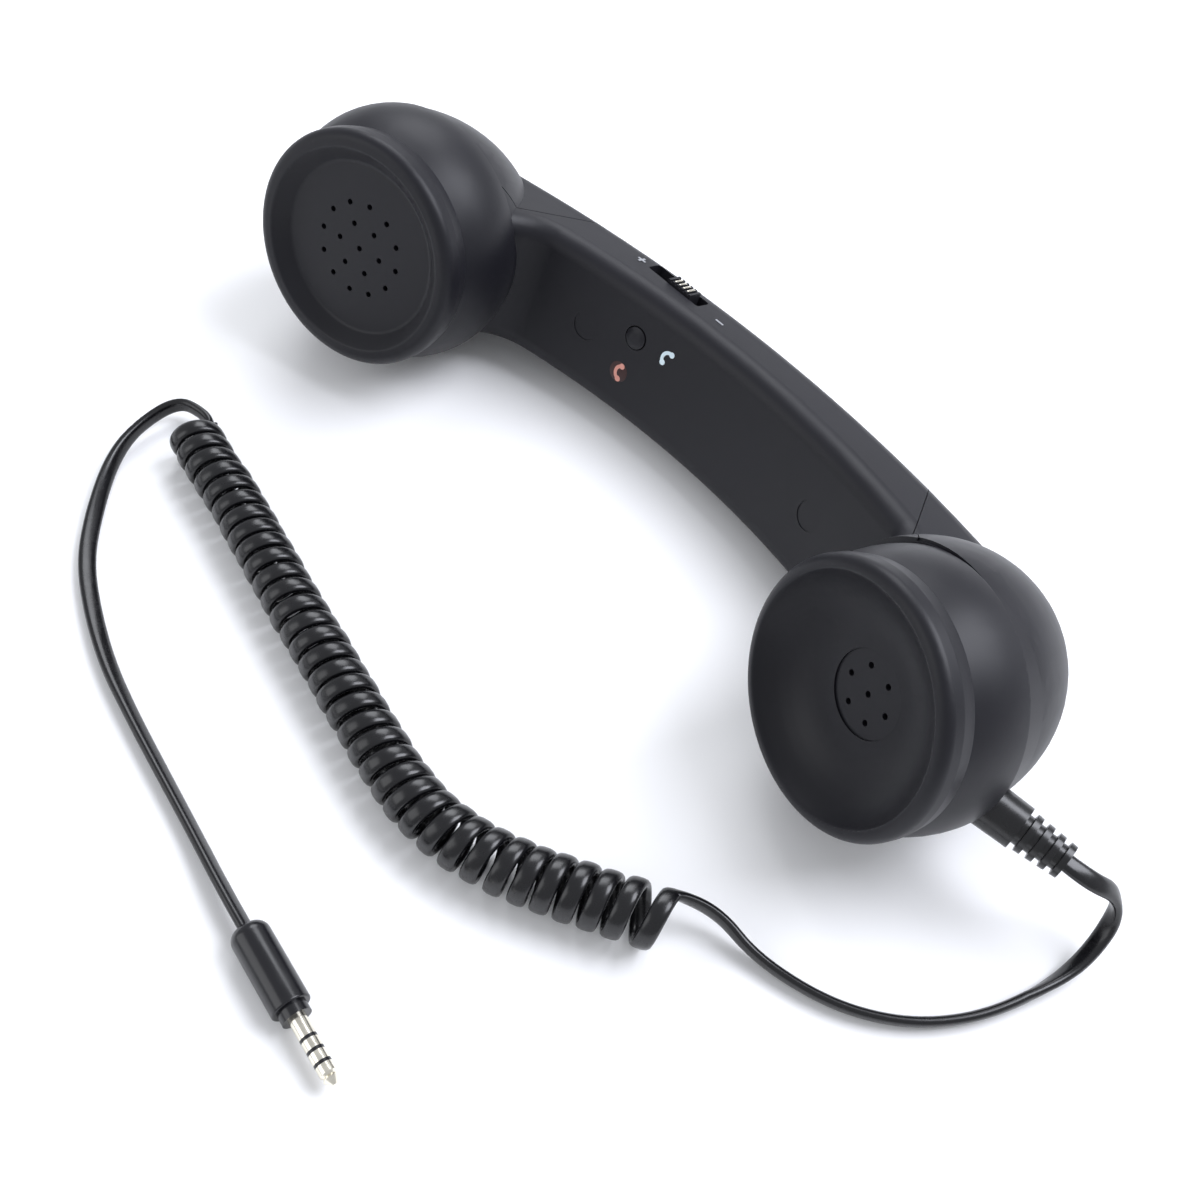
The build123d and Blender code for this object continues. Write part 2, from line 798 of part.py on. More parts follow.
def make_weight():
    with BuildPart() as weight:
        add(disc(Plane.XY, weight_centre, weight_radius, weight_seat, weight_seat + weight_thickness))
        for spot in weight_screw_spots:
            hole = disc(Plane.XY, spot, weight_screw_radius, weight_seat - 1, weight_seat + weight_thickness + 1)
            add(hole, mode=Mode.SUBTRACT)
    return weight.part


def make_weight_screws():
    with BuildPart() as screws:
        for spot in weight_screw_spots:
            seat = weight_seat + weight_thickness
            add(screw(Plane.XY, spot, 2.4, weight_screw_radius, seat, 1.6, weight_thickness + 3.5))
    return screws.part


save(make_weight(), "balance_weight")
save(make_weight_screws(), "weight_screws")


# ---- Strain relief ----------------------------------------------------------------------
relief_collar_radius = 4.9
relief_collar_end = 8.6
relief_rib_radius = 4.3
relief_rib_pitch = 2.6
relief_rib_count = 4
relief_end = relief_collar_end + relief_rib_count * relief_rib_pitch
relief_flange_radius = 4.6


def make_strain_relief():
    outline = [(0, 0.5), (relief_collar_radius, 0.5), (relief_collar_radius - 0.2, relief_collar_end)]
    for number in range(relief_rib_count):
        start = relief_collar_end + number * relief_rib_pitch
        rib = relief_rib_radius - 0.17 * number
        outline += [
            (rib - 1.0, start),
            (rib - 1.0, start + 1.1),
            (rib, start + 1.3),
            (rib - 0.1, start + relief_rib_pitch),
        ]
    outline.append((0, relief_end))
    sleeve = turned(relief_plane, outline) - outer_form
    flange = disc(relief_plane, (0, 0), relief_flange_radius, -2.4, 4) & hollow
    neck = disc(relief_plane, (0, 0), relief_neck_radius, -2.4, relief_collar_end)
    return sleeve + flange + neck


save(make_strain_relief(), "strain_relief")


# ---- Leads inside -----------------------------------------------------------------------
def tube(points, radius, radii=None):
    """A round tube whose straight runs are joined by arcs as large as the runs allow."""
    points = [Vector(*point) for point in points]
    if radii is None:
        radii = [bend_radius(*corner) for corner in zip(points, points[1:], points[2:])]
    with BuildPart() as solid:
        with BuildLine() as path:
            FilletPolyline(*points, radius=radii)
        with BuildSketch(Plane(origin=points[0], z_dir=points[1] - points[0])):
            Circle(radius)
        sweep(path=path.wires()[0])
    length = path.wires()[0].length
    share = solid.part.volume / (pi * radius**2 * length)
    print(f"tube {length:.1f} mm, volume share {share:.4f}, radii {[round(r, 1) for r in radii]}")
    return solid.part


def bend_radius(before, corner, after):
    """The radius of the arc at a corner: 0.45 of the shorter run over the tangent of half the turn."""
    into = corner - before
    out = after - corner
    turn = radians(into.get_angle(out))
    return 0.45 * min(into.length, out.length) / tan(turn / 2)


magnet_back = frame_seat - 3.6 - 3.4
speaker_lead_route = (
    tuple(ear_seat.from_local_coords(Vector(5, -5, magnet_back))),
    tuple(ear_seat.from_local_coords(Vector(5, -5, magnet_back - 6))),
    (-70.0, -8.5, -36.0),
    (-56.0, -9.5, -44.5),
    tuple(control_plane.from_local_coords(Vector(board_span[0] - 5, -9, -board_depth - 0.8))),
    tuple(control_plane.from_local_coords(Vector(board_span[0], -9, -board_depth - 0.8))),
)
mic_lead_route = (
    tuple(control_plane.from_local_coords(Vector(board_span[1], -5, -board_depth - 0.8))),
    tuple(control_plane.from_local_coords(Vector(board_span[1] + 7, -5, -board_depth - 0.8))),
    (28.0, -9.5, -51.4),
    (46.0, -9.0, -47.0),
    (62.0, -10.0, -41.0),
    (74.0, -9.0, -30.0),
    tuple(mouth_seat.from_local_coords(Vector(0, 0, boot_bottom - 4))),
    tuple(mouth_seat.from_local_coords(Vector(0, 0, boot_top - capsule_height))),
)
save(tube(speaker_lead_route, lead_radius), "speaker_lead")
save(tube(mic_lead_route, lead_radius), "mic_lead")


# ---- Curly cord, as it lies on the table ------------------------------------------------
coil_height = coil_diameter / 2
cord_height = cord_width / 2
coil_route = (
    (84.5, -46.8, coil_height),
    (70.5, -55.8, coil_height),
    (56.5, -63.6, coil_height),
    (40.5, -69.2, coil_height),
    (22.5, -68.3, coil_height),
    (0.5, -64.5, coil_height),
    (-28.0, -60.2, coil_height),
    (-55.5, -55.1, coil_height),
    (-68.0, -53.9, coil_height),
    (-80.5, -51.6, coil_height),
)
coil_start_way = (Vector(*coil_route[0]) - Vector(*coil_route[1])).normalized()
coil_end_way = (Vector(*coil_route[-1]) - Vector(*coil_route[-2])).normalized()
relief_tip = lay_down(relief_plane.from_local_coords(Vector(0, 0, relief_end)))
relief_way = lay_down(relief_plane.from_local_coords(Vector(0, 0, relief_end + 1))) - relief_tip
joins_coil = Vector(*coil_route[0]) + Vector(-coil_start_way.Y, coil_start_way.X, 0) * 3.6 + Vector(0, 0, 2.2)
leaves_coil = Vector(*coil_route[-1]) + Vector(coil_end_way.Y, -coil_end_way.X, 0) * 4.2 + Vector(0, 0, -1.5)
handset_tail_route = (
    tuple(relief_tip),
    tuple(relief_tip + relief_way * 7.0),
    (141.2, 15.2, 18.0),
    (144.2, 12.5, 11.5),
    (144.6, 7.0, 5.5),
    (143.5, -0.5, 2.3),
    (138.8, -9.8, cord_height),
    (131.5, -19.5, cord_height),
    (122.5, -27.5, cord_height),
    (111.5, -33.0, cord_height),
    (101.0, -36.4, 2.6),
    tuple(joins_coil + coil_start_way * 8.5),
    tuple(joins_coil),
)
plug_way = Vector(cos(radians(plug_heading)), sin(radians(plug_heading)), 0)
plug_entry = Vector(plug_back[0], plug_back[1], barrel_radius)
plug_tail_route = (
    tuple(leaves_coil),
    tuple(leaves_coil + coil_end_way * 6.6),
    (-91.6, -47.4, 4.4),
    (-95.8, -53.0, 3.4),
    (-95.8, -60.4, 2.5),
    (-91.6, -68.2, cord_height),
    (-82.0, -78.4, cord_height),
    (-66.0, -90.0, cord_height),
    (-44.0, -98.5, cord_height),
    (-18.0, -104.3, cord_height),
    (8.0, -107.3, cord_height),
    tuple(plug_entry - plug_way * 8.0),
    tuple(plug_entry),
)
save(tube(handset_tail_route, cord_width / 2), "cord_tail_handset", lies=False)
save(tube(coil_route, coil_diameter / 2), "cord_coil", lies=False)
save(tube(plug_tail_route, cord_width / 2), "cord_tail_plug", lies=False)


# ---- The 3.5 mm plug --------------------------------------------------------------------
collar_radius = 3.0
collar_length = 2.2
band_width = 0.7
ring_width = 2.0
tip_length = 4.2
sleeve_length = contact_length - tip_length - 2 * ring_width - 3 * band_width


def make_barrel():
    outline = (
        (0, 0),
        (barrel_radius, 0),
        (barrel_radius, barrel_length),
        (0, barrel_length),
    )
    return turned(plug_plane, outline, ((1, 2.6), (2, 0.4)))


def make_plug_tip(start):
    end = start + tip_length
    outline = (
        (0, start),
        (contact_radius, start),
        (contact_radius, end - 2.4),
        (contact_radius - 0.45, end - 1.9),
        (contact_radius - 0.1, end - 1.3),
        (0.5, end),
        (0, end),
    )
    return turned(plug_plane, outline)


def make_plug():
    save(make_barrel(), "plug_barrel", lies=False)
    place = barrel_length
    save(disc(plug_plane, (0, 0), collar_radius, place, place + collar_length), "plug_collar", lies=False)
    place += collar_length
    pieces = (
        ("plug_sleeve", sleeve_length, contact_radius),
        ("plug_band_1", band_width, contact_radius),
        ("plug_ring_1", ring_width, contact_radius),
        ("plug_band_2", band_width, contact_radius),
        ("plug_ring_2", ring_width, contact_radius),
        ("plug_band_3", band_width, contact_radius),
    )
    for name, length, radius in pieces:
        save(disc(plug_plane, (0, 0), radius, place, place + length), name, lies=False)
        place += length
    save(make_plug_tip(place), "plug_tip", lies=False)


make_plug()


# ---- Move to the origin and export ------------------------------------------------------
boxes = [piece.bounding_box() for piece in handset_pieces.values()]
middle_x = (min(box.min.X for box in boxes) + max(box.max.X for box in boxes)) / 2
middle_y = (min(box.min.Y for box in boxes) + max(box.max.Y for box in boxes)) / 2
home = Vector(-middle_x, -middle_y, 0)
print("home", home, "lowest", min(box.min.Z for box in boxes))
routes = {
    "handset tail": handset_tail_route,
    "coil": coil_route,
    "plug tail": plug_tail_route,
}
for name, route in routes.items():
    print(name, [tuple(round(value, 2) for value in Vector(*point) + home) for point in route])
for name, piece in {**handset_pieces, **cord_pieces}.items():
    placed = piece.moved(Location(home))
    placed.label = name
    export_step(placed, f"parts/{name}.step")
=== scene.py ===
import json
import math

import bmesh
import bpy
from bpy.props import FloatProperty, FloatVectorProperty, IntProperty, PointerProperty
from bpy.types import Operator, Panel, PropertyGroup
from mathutils import Matrix, Vector


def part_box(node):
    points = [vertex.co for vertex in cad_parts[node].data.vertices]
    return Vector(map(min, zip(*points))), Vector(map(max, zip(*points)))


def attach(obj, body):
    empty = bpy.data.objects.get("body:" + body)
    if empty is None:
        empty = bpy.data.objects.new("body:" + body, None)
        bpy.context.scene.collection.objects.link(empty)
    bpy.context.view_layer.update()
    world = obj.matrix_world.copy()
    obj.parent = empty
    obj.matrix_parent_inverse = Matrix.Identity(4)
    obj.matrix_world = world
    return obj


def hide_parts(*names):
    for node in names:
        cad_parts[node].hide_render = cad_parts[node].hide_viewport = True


bl_info = {
    "name": "Retro telephone handset",
    "version": (1, 0, 0),
    "blender": (4, 5, 0),
    "location": "3D Viewport > Sidebar > Handset",
    "description": "Finishes a handset with round cups, a curly cord and a small plug",
    "category": "Object",
}

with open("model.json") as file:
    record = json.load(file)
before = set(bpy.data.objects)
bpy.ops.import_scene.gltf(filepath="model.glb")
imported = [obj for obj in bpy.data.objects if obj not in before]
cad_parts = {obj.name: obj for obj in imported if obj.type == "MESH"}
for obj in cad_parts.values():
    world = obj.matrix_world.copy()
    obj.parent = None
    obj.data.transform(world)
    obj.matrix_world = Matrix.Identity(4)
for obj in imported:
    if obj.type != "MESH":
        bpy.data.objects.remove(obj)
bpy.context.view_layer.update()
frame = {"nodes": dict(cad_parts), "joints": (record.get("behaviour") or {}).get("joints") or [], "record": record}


# ---- Places on the object, in metres -----------------------------------------------------
# The cord's route: out of the sleeve and round to the coil, along the coil, and on to the plug.
HANDSET_TAIL_ROUTE = (
    (0.1214, -0.0084, 0.0219),
    (0.1268, -0.0075, 0.0212),
    (0.1318, -0.0012, 0.0150),
    (0.1345, -0.0030, 0.0072),
    (0.1354, -0.0128, 0.0024),
    (0.1328, -0.0255, 0.0021),
    (0.1289, -0.0358, 0.0020),
    (0.1226, -0.0453, 0.0020),
    (0.1142, -0.0525, 0.0020),
    (0.1046, -0.0572, 0.0020),
    (0.0927, -0.0603, 0.0024),
    (0.0830, -0.0610, 0.0062),
)
COIL_ROUTE = (
    (0.0778, -0.0704, 0.0070),
    (0.0638, -0.0794, 0.0069),
    (0.0498, -0.0872, 0.0066),
    (0.0338, -0.0928, 0.0065),
    (0.0158, -0.0919, 0.0065),
    (-0.0062, -0.0881, 0.0065),
    (-0.0347, -0.0838, 0.0065),
    (-0.0622, -0.0787, 0.0065),
    (-0.0747, -0.0775, 0.0065),
    (-0.0872, -0.0752, 0.0065),
)
PLUG_TAIL_ROUTE = (
    (-0.0918, -0.0695, 0.0050),
    (-0.0995, -0.0722, 0.0050),
    (-0.0990, -0.0850, 0.0034),
    (-0.0935, -0.0948, 0.0024),
    (-0.0820, -0.1056, 0.0020),
    (-0.0714, -0.1134, 0.0020),
    (-0.0583, -0.1189, 0.0020),
    (-0.0441, -0.1232, 0.0020),
    (-0.0307, -0.1255, 0.0020),
    (-0.0160, -0.1275, 0.0020),
    (0.0013, -0.1297, 0.0020),
    (0.0189, -0.1322, 0.0040),
    (0.0268, -0.1330, 0.0040),
)
# How far the flat cord is turned up on its edge at each of those points, in degrees.
HANDSET_TAIL_LEAN = (0, 5, 25, 50, 75, 95, 105, 105, 105, 105, 100, 90)
PLUG_TAIL_LEAN = (90, 95, 90, 60, 30, 25, 30, 40, 50, 55, 60, 60, 60)
# In the drop from the sleeve to the table the strip twists, so its width points these ways there.
DROP_WAYS = {
    1: (0.17, -0.96, -0.20),
    2: (0.55, -0.70, 0.05),
    3: (0.88, -0.30, 0.30),
    4: (0.70, -0.10, 0.70),
}

COIL_TURNS = 34.83
COIL_START_ANGLE = 140.0
POINTS_PER_TURN = 14
COIL_STEPS = 2000
SECTION_CORNERS = 14

PATCH_RADIUS = 0.0026
PATCH_DEPTH = 0.0005
PATCH_BELOW_ICON = 0.0003
RIDGE_PITCH = 0.0014
# Size of each silver bar on the knob's ridges; the bars are painted highlights for the glints that the ridges
# catch.
GLINT_BAR_SIZE = (0.00056, 0.0026, 0.00024)
MERGE_DISTANCE = 0.000002

LENS = 41.71
SENSOR = 36.0
CAMERA_PLACE = (0.14012, -0.16044, 0.26108)
CAMERA_RIGHT = (0.650751, 0.757028, 0.058585)
CAMERA_UP = (-0.639412, 0.504764, 0.57997)
CAMERA_BACK = (0.409482, -0.414876, 0.812528)
LAMP_TARGET = (0.0, -0.04, 0.02)
# Each lamp's name, place, size, share of the key light's power, and colour.
LAMPS = (
    ("overhead_lamp", (0.38, 0.62, 0.90), 0.7, 1.0, (0.90, 0.92, 1.0)),
    ("side_lamp", (-0.60, 0.55, 0.75), 0.6, 0.4, (0.93, 0.95, 1.0)),
    ("front_lamp", (-0.45, -0.95, 0.60), 0.8, 0.22, (0.97, 0.98, 1.0)),
)

SCREW_COVERS = ("screw_cover_ear_side", "screw_cover_mouth_side")
PLUG_METAL = ("plug_sleeve", "plug_ring_1", "plug_ring_2", "plug_tip")
PLUG_BLACK = ("plug_barrel", "plug_collar", "plug_band_1", "plug_band_2", "plug_band_3")


# ---- Settings a user would change -----------------------------------------------------------
class HandsetFinishSettings(PropertyGroup):
    shell_colour: FloatVectorProperty(
        name="Shell colour",
        description="Colour of the soft-touch shells and caps",
        subtype="COLOR",
        size=4,
        min=0.0,
        max=1.0,
        default=(0.0056, 0.0055, 0.0090, 1.0),
    )
    shell_roughness: FloatProperty(
        name="Shell roughness",
        description="How dull the soft-touch coating is",
        subtype="FACTOR",
        min=0.0,
        max=1.0,
        default=0.46,
    )
    grain_size: FloatProperty(
        name="Grain size",
        description="Width of one grain of the coating",
        unit="LENGTH",
        min=0.0001,
        max=0.003,
        default=0.0004,
    )


class HandsetCordSettings(PropertyGroup):
    cord_width: FloatProperty(
        name="Cord width",
        description="Width of the flat cord",
        unit="LENGTH",
        min=0.002,
        max=0.006,
        default=0.004,
    )
    cord_thickness: FloatProperty(
        name="Cord thickness",
        description="Thickness of the flat cord",
        unit="LENGTH",
        min=0.001,
        max=0.004,
        default=0.0021,
    )
    coil_radius: FloatProperty(
        name="Coil radius",
        description="From the coil's axis to the middle of the cord",
        unit="LENGTH",
        min=0.003,
        max=0.008,
        default=0.0054,
    )
    smoothness: IntProperty(
        name="Cord smoothness",
        description="Rings along the cord between two of its points",
        min=4,
        max=12,
        default=8,
    )


class HandsetStageSettings(PropertyGroup):
    floor_size: FloatProperty(
        name="Floor size",
        description="Side of the square floor",
        unit="LENGTH",
        min=1.0,
        max=20.0,
        default=6.0,
    )
    key_power: FloatProperty(
        name="Key light power",
        description="Power of the large lamp overhead",
        unit="POWER",
        min=0.0,
        max=500.0,
        default=14.0,
    )


SETTINGS = (
    ("handset_finish", HandsetFinishSettings),
    ("handset_cord", HandsetCordSettings),
    ("handset_stage", HandsetStageSettings),
)


# ---- Materials ------------------------------------------------------------------------------
def new_finish(name):
    """A material with its nodes, and its shader."""
    finish = bpy.data.materials.new(name)
    finish.use_nodes = True
    return finish, finish.node_tree.nodes["Principled BSDF"]


def set_sockets(shader, **values):
    """Sets constants straight on the shader's sockets; an underscore stands for a space."""
    for key, value in values.items():
        shader.inputs[key.replace("_", " ")].default_value = value


def add_noise(finish, scale, detail=4.0):
    """Noise on the piece's own coordinates."""
    nodes, links = finish.node_tree.nodes, finish.node_tree.links
    place = nodes.new("ShaderNodeTexCoord")
    noise = nodes.new("ShaderNodeTexNoise")
    noise.inputs["Scale"].default_value = scale
    noise.inputs["Detail"].default_value = detail
    links.new(place.outputs["Object"], noise.inputs["Vector"])
    return noise


def vary(finish, source, low, high, socket):
    """Drives a shader socket between two values from a pattern."""
    nodes, links = finish.node_tree.nodes, finish.node_tree.links
    spread = nodes.new("ShaderNodeMapRange")
    spread.inputs["From Min"].default_value = 0.3
    spread.inputs["From Max"].default_value = 0.7
    spread.inputs["To Min"].default_value = low
    spread.inputs["To Max"].default_value = high
    links.new(source.outputs[0], spread.inputs["Value"])
    links.new(spread.outputs["Result"], socket)


def vary_colour(finish, source, low, high, socket):
    """Drives a colour socket between two colours from a pattern."""
    nodes, links = finish.node_tree.nodes, finish.node_tree.links
    ramp = nodes.new("ShaderNodeValToRGB")
    ramp.color_ramp.elements[0].position = 0.35
    ramp.color_ramp.elements[0].color = low
    ramp.color_ramp.elements[1].position = 0.65
    ramp.color_ramp.elements[1].color = high
    links.new(source.outputs[0], ramp.inputs["Fac"])
    links.new(ramp.outputs["Color"], socket)


def raise_grain(finish, shader, source, height, strength=1.0):
    """Puts a pattern into the surface as fine relief."""
    nodes, links = finish.node_tree.nodes, finish.node_tree.links
    bump = nodes.new("ShaderNodeBump")
    bump.inputs["Distance"].default_value = height
    bump.inputs["Strength"].default_value = strength
    links.new(source.outputs[0], bump.inputs["Height"])
    links.new(bump.outputs["Normal"], shader.inputs["Normal"])


def shade(colour, factor):
    """A colour made lighter or darker."""
    return tuple(min(1.0, channel * factor) for channel in colour[:3]) + (1.0,)


def make_soft_touch(settings):
    """Matt coated plastic: fine grain, faint cloudy wear in its gloss."""
    finish, shader = new_finish("soft_touch_black")
    clouds = add_noise(finish, 38.0, detail=3.0)
    grain = add_noise(finish, 0.55 / settings.grain_size, detail=2.0)
    dark, light = shade(settings.shell_colour, 0.92), shade(settings.shell_colour, 1.1)
    vary_colour(finish, clouds, dark, light, shader.inputs["Base Color"])
    dull = settings.shell_roughness
    vary(finish, clouds, dull - 0.03, dull + 0.03, shader.inputs["Roughness"])
    raise_grain(finish, shader, grain, 0.000012, 0.5)
    set_sockets(shader, Specular_IOR_Level=0.32, Sheen_Weight=0.02, Sheen_Roughness=0.5)
    return finish


def make_plain(name, colour, roughness, scale=220.0, relief=0.00001, metallic=0.0, **sockets):
    """Moulded, printed or turned stuff with a little variation in colour, gloss and surface."""
    finish, shader = new_finish(name)
    clouds = add_noise(finish, scale * 0.25, detail=3.0)
    grain = add_noise(finish, scale, detail=3.0)
    vary_colour(finish, clouds, shade(colour, 0.9), shade(colour, 1.1), shader.inputs["Base Color"])
    vary(finish, grain, roughness - 0.03, roughness + 0.03, shader.inputs["Roughness"])
    raise_grain(finish, shader, grain, relief, 0.6)
    set_sockets(shader, Metallic=metallic, **sockets)
    return finish


def make_cloth(name, colour, pitch):
    """Woven speaker cloth: two crossing sets of threads."""
    finish, shader = new_finish(name)
    nodes, links = finish.node_tree.nodes, finish.node_tree.links
    place = nodes.new("ShaderNodeTexCoord")
    threads = []
    for axis in ("X", "Z"):
        wave = nodes.new("ShaderNodeTexWave")
        wave.bands_direction = axis
        wave.inputs["Scale"].default_value = 0.32 / pitch
        wave.inputs["Distortion"].default_value = 0.4
        links.new(place.outputs["Object"], wave.inputs["Vector"])
        threads.append(wave)
    crossing = nodes.new("ShaderNodeMath")
    crossing.operation = "MULTIPLY"
    links.new(threads[0].outputs["Fac"], crossing.inputs[0])
    links.new(threads[1].outputs["Fac"], crossing.inputs[1])
    vary_colour(finish, crossing, shade(colour, 0.5), shade(colour, 1.5), shader.inputs["Base Color"])
    vary(finish, crossing, 0.95, 0.8, shader.inputs["Roughness"])
    raise_grain(finish, shader, crossing, 0.00008)
    set_sockets(shader, Sheen_Weight=0.2, Sheen_Roughness=0.4)
    return finish


def make_finishes(settings):
    """Every finish on the handset, by its material slot."""
    return {
        "soft_touch_black": make_soft_touch(settings),
        "gloss_black": make_plain("gloss_black", (0.006, 0.006, 0.008), 0.24),
        "black_rubber": make_plain("black_rubber", (0.006, 0.006, 0.007), 0.28, relief=0.00002),
        "cord_black": make_plain("cord_black", (0.004, 0.004, 0.005), 0.26, scale=500.0,
                                 Specular_IOR_Level=0.5),
        "white_inlay": make_plain("white_inlay", (0.72, 0.86, 0.95), 0.4),
        "red_inlay": make_plain("red_inlay", (0.68, 0.30, 0.24), 0.4),
        "faded_print": make_plain("faded_print", (0.30, 0.31, 0.33), 0.5),
        "dark_red_patch": make_plain("dark_red_patch", (0.030, 0.005, 0.004), 0.4),
        "black_cloth": make_cloth("black_cloth", (0.006, 0.006, 0.008), 0.0004),
        "board_green": make_plain("board_green", (0.02, 0.12, 0.04), 0.45),
        "zinc_steel": make_plain("zinc_steel", (0.55, 0.56, 0.58), 0.35, metallic=1.0),
        "weight_steel": make_plain("weight_steel", (0.3, 0.3, 0.31), 0.5, metallic=1.0),
        "silver_contact": make_plain("silver_contact", (0.83, 0.79, 0.68), 0.22, metallic=1.0,
                                     relief=0.000004, scale=900.0),
        "cone_paper": make_plain("cone_paper", (0.05, 0.045, 0.04), 0.85, relief=0.00006),
        "magnet_steel": make_plain("magnet_steel", (0.45, 0.45, 0.47), 0.4, metallic=1.0),
    }


# ---- Helpers for pieces -----------------------------------------------------------------------
finishes = {}


def slot_of(node):
    """The material slot that the record gives a CAD node."""
    for part in frame["record"]["subparts"]:
        if node in (part.get("node"), part.get("name")):
            return part["material_slot"]
    raise RuntimeError(f"the record has no piece {node}")


def body_of(node):
    """The body that a CAD node belongs to."""
    for body, nodes in frame["record"]["behaviour"]["bodies"].items():
        if node in nodes:
            return body
    raise RuntimeError(f"no body holds {node}")


def dress(piece, finish):
    """Gives a piece one finish all over."""
    piece.data.materials.clear()
    piece.data.materials.append(finish)


def pick_only(piece):
    """Selects one object and makes it active."""
    bpy.ops.object.select_all(action="DESELECT")
    piece.select_set(True)
    bpy.context.view_layer.objects.active = piece


def finish_mesh(piece, angle=30.0):
    """Joins loose triangles, and smooths across every edge that turns less than the angle."""
    pick_only(piece)
    bpy.ops.mesh.customdata_custom_splitnormals_clear()
    bpy.ops.object.mode_set(mode="EDIT")
    bpy.ops.mesh.select_all(action="SELECT")
    bpy.ops.mesh.remove_doubles(threshold=MERGE_DISTANCE)
    bpy.ops.mesh.dissolve_degenerate(threshold=0.000001)
    bpy.ops.object.mode_set(mode="OBJECT")
    bpy.ops.object.shade_smooth_by_angle(angle=math.radians(angle))
    weigh = piece.modifiers.new("Even shading", "WEIGHTED_NORMAL")
    weigh.keep_sharp = True
    weigh.weight = 50
    bpy.ops.object.modifier_apply(modifier=weigh.name)


def copy_node(node, name, angle=30.0):
    """A smoothed copy of a CAD node that stands for it and rides on its body."""
    source = frame["nodes"][node]
    mesh = source.data.copy()
    mesh.name = name
    piece = bpy.data.objects.new(name, mesh)
    bpy.context.scene.collection.objects.link(piece)
    finish_mesh(piece, angle)
    dress(piece, finishes[slot_of(node)])
    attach(piece, body_of(node))
    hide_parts(node)
    return piece


# ---- Cord -------------------------------------------------------------------------------------
def spline_points(points, steps):
    """Points along the smooth line that has these points as its control points."""
    line = make_line("route", points, steps)
    mesh = bpy.data.meshes.new_from_object(line)
    found = [vertex.co.copy() for vertex in mesh.vertices]
    bpy.data.meshes.remove(mesh)
    curve = line.data
    bpy.data.objects.remove(line)
    bpy.data.curves.remove(curve)
    return found


def make_line(name, points, steps):
    """A smooth curve with no thickness."""
    curve = bpy.data.curves.new(name, "CURVE")
    curve.dimensions = "3D"
    curve.resolution_u = steps
    spline = curve.splines.new("NURBS")
    spline.points.add(len(points) - 1)
    for point, place in zip(spline.points, points):
        point.co = (*place, 1.0)
    spline.order_u = 3
    spline.use_endpoint_u = True
    line = bpy.data.objects.new(name, curve)
    bpy.context.scene.collection.objects.link(line)
    return line


def lean_way(points, index, lean):
    """Which way the flat cord's width points at a route point, from its lean."""
    before = Vector(points[max(index - 1, 0)])
    after = Vector(points[min(index + 1, len(points) - 1)])
    way = (after - before).normalized()
    level = way.cross(Vector((0, 0, 1))).normalized()
    upright = level.cross(way)
    return level * math.cos(math.radians(lean)) + upright * math.sin(math.radians(lean))


def coil_points(radius):
    """The helix along the coil's route, with the way the cord's width points at each."""
    axis = spline_points(COIL_ROUTE, 40)
    reach = [0.0]
    for a, b in zip(axis, axis[1:]):
        reach.append(reach[-1] + (b - a).length)
    total = reach[-1]
    # The first loop is pulled open where the straight cord starts, and so a little is the last.
    turned = [0.0]
    for step in range(COIL_STEPS):
        at = total * (step + 0.5) / COIL_STEPS
        pitch = 1.0 + 0.85 * math.exp(-at / 0.0045) + 0.35 * math.exp(-(total - at) / 0.004)
        pitch += 0.05 * math.sin(at * 410.0) + 0.04 * math.sin(at * 173.0 + 1.0)
        turned.append(turned[-1] + 1.0 / pitch)
    scale = COIL_TURNS / turned[-1]
    points, ways = [], []
    total_points = round(COIL_TURNS * POINTS_PER_TURN)
    step = 0
    here = 0
    for number in range(total_points + 1):
        goal = COIL_TURNS * number / total_points
        while step < COIL_STEPS - 1 and turned[step + 1] * scale < goal:
            step += 1
        part = (goal / scale - turned[step]) / (turned[step + 1] - turned[step])
        at = total * min(step + part, COIL_STEPS) / COIL_STEPS
        while here < len(reach) - 2 and reach[here + 1] < at:
            here += 1
        part = min(1.0, (at - reach[here]) / (reach[here + 1] - reach[here]))
        middle = axis[here].lerp(axis[here + 1], part)
        way = (axis[here + 1] - axis[here]).normalized()
        side = Vector((0, 0, 1)).cross(way).normalized()
        up = way.cross(side)
        angle = math.radians(COIL_START_ANGLE - 360.0 * goal)
        size = radius * (1.0 + 0.012 * math.sin(goal * 2.3) + 0.01 * math.sin(goal * 5.1 + 0.5))
        size *= 1.0 + 0.07 * math.exp(-at / 0.025)
        points.append(middle + (side * math.cos(angle) + up * math.sin(angle)) * size)
        ways.append(way.copy())
    return points, ways


def cord_points(radius):
    """Every control point of the cord from the sleeve to the plug, and its width's way."""
    points = [Vector(point) for point in HANDSET_TAIL_ROUTE]
    ways = [lean_way(HANDSET_TAIL_ROUTE, i, lean) for i, lean in enumerate(HANDSET_TAIL_LEAN)]
    for number, way in DROP_WAYS.items():
        ways[number] = Vector(way).normalized()
    turns, along = coil_points(radius)
    points += turns
    ways += along
    points += [Vector(point) for point in PLUG_TAIL_ROUTE]
    ways += [lean_way(PLUG_TAIL_ROUTE, i, lean) for i, lean in enumerate(PLUG_TAIL_LEAN)]
    for before, way in zip(ways, ways[1:]):
        if before.dot(way) < 0:
            way.negate()
    return points, ways


def way_at(ways, count, number, total):
    """The width's way at one ring, between those of the control points next to it."""
    last = count - 2
    u = last * number / (total - 1)
    if u <= 0.5:
        low, part = 0, u / 0.5
    elif u >= last - 0.5:
        low, part = count - 2, (u - (last - 0.5)) / 0.5
    else:
        low = int(u - 0.5) + 1
        part = u - 0.5 - (low - 1)
    return ways[low].lerp(ways[low + 1], min(max(part, 0.0), 1.0))


